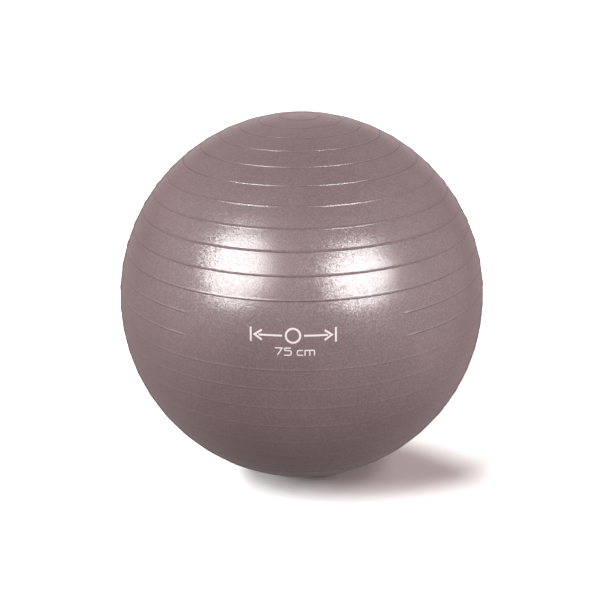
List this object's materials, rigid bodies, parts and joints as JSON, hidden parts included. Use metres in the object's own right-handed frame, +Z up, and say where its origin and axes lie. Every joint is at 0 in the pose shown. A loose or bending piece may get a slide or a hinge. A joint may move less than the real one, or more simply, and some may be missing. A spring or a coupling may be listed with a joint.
{
  "type": "exercise ball",
  "caption": "Inflated exercise ball with a hollow ribbed skin, a plain panel on the front, and a valve at the back closed by a stopper that pulls out.",
  "frame": {"origin": "on the floor, at the centre of the flat where the ball bears on it, under the middle of the ball", "axes": "+Z up along the axis that the ribs run round; -Y towards the plain panel on the front; +Y towards the valve at the back"},
  "size_m": [0.743, 0.744, 0.7491],
  "materials": {
    "skin_vinyl": "satin vinyl with a fine pearly grain, dusty mauve",
    "seat_vinyl": "satin vinyl, the skin's colour a shade darker",
    "plug_plastic": "off-white moulded polyethylene, semi-matt"
  },
  "bodies": {
    "ball": {"ball_skin": "skin_vinyl", "valve_seat": "seat_vinyl"},
    "plug": {"valve_plug": "plug_plastic"}
  },
  "joints": [
    {"name": "plug_pull", "type": "slide", "parent": "ball", "child": "plug", "axis": [0, 0.9861, 0.166], "range_m": [0, 0.035]}
  ]
}
